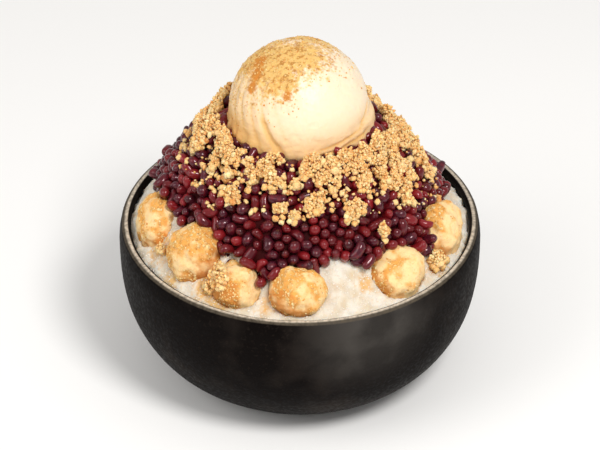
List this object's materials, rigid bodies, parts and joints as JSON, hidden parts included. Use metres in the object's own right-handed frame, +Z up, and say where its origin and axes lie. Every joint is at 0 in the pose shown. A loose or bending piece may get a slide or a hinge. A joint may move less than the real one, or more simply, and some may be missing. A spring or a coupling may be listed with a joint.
{
  "type": "red bean bingsu",
  "caption": "Shaved ice dessert in a round stoneware bowl, heaped with sweet red beans, ringed with powdered rice cakes and topped with a scoop of vanilla ice cream.",
  "frame": {"origin": "middle of the bowl's foot, on the plane that it stands on", "axes": "+Z up, -Y towards the front of the serving, +X to the right as seen from the front"},
  "size_m": [0.1628, 0.1628, 0.1587],
  "materials": {
    "stoneware": "satin black stoneware",
    "ice": "shaved milk ice",
    "beans": "sweet boiled red beans, wet",
    "ice_cream": "vanilla ice cream",
    "rice_cake": "rice cake dusted with roasted soybean powder"
  },
  "bodies": {
    "root": {"bowl": "stoneware", "shaved_ice": "ice", "red_beans": "beans", "ice_cream_scoop": "ice_cream", "rice_cake_1": "rice_cake", "rice_cake_2": "rice_cake", "rice_cake_3": "rice_cake", "rice_cake_4": "rice_cake", "rice_cake_5": "rice_cake", "rice_cake_6": "rice_cake", "rice_cake_7": "rice_cake", "rice_cake_8": "rice_cake", "rice_cake_9": "rice_cake", "rice_cake_10": "rice_cake"}
  },
  "joints": []
}
